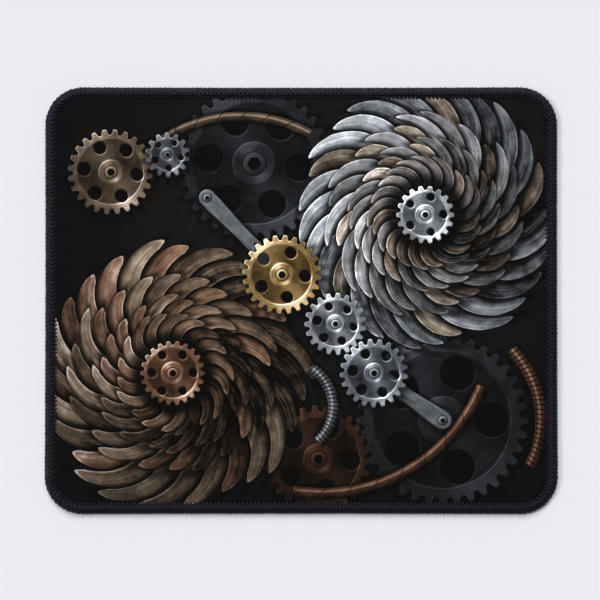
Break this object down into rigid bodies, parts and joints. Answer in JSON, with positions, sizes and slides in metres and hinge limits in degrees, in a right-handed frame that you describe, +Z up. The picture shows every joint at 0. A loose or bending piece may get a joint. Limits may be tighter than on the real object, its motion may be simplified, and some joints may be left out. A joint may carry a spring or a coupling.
{
  "type": "mouse pad",
  "caption": "Flat rectangular mouse pad: a printed cloth bonded to a sponge rubber sheet, with rounded corners and an overlocked thread rim round its edge.",
  "frame": {"origin": "middle of the underside, on the surface that the pad lies on", "axes": "+X along the long sides, +Y along the short sides towards the top of the print, +Z up out of the printed cloth"},
  "size_m": [0.24, 0.2, 0.0035],
  "materials": {
    "printed_cloth": "matt close-knit polyester with a dye-printed picture of overlapping metal blades, wheels and springs in steel grey, bronze and brass on black",
    "sponge_rubber": "matt black sponge rubber, moulded with fine waves on the underside",
    "edge_thread": "fluffy black nylon thread with a faint blue-violet sheen"
  },
  "bodies": {
    "root": {"rubber_base": "sponge_rubber", "cloth_top": "printed_cloth", "upper_looper_thread": "edge_thread", "lower_looper_thread": "edge_thread", "needle_thread": "edge_thread"}
  },
  "joints": []
}
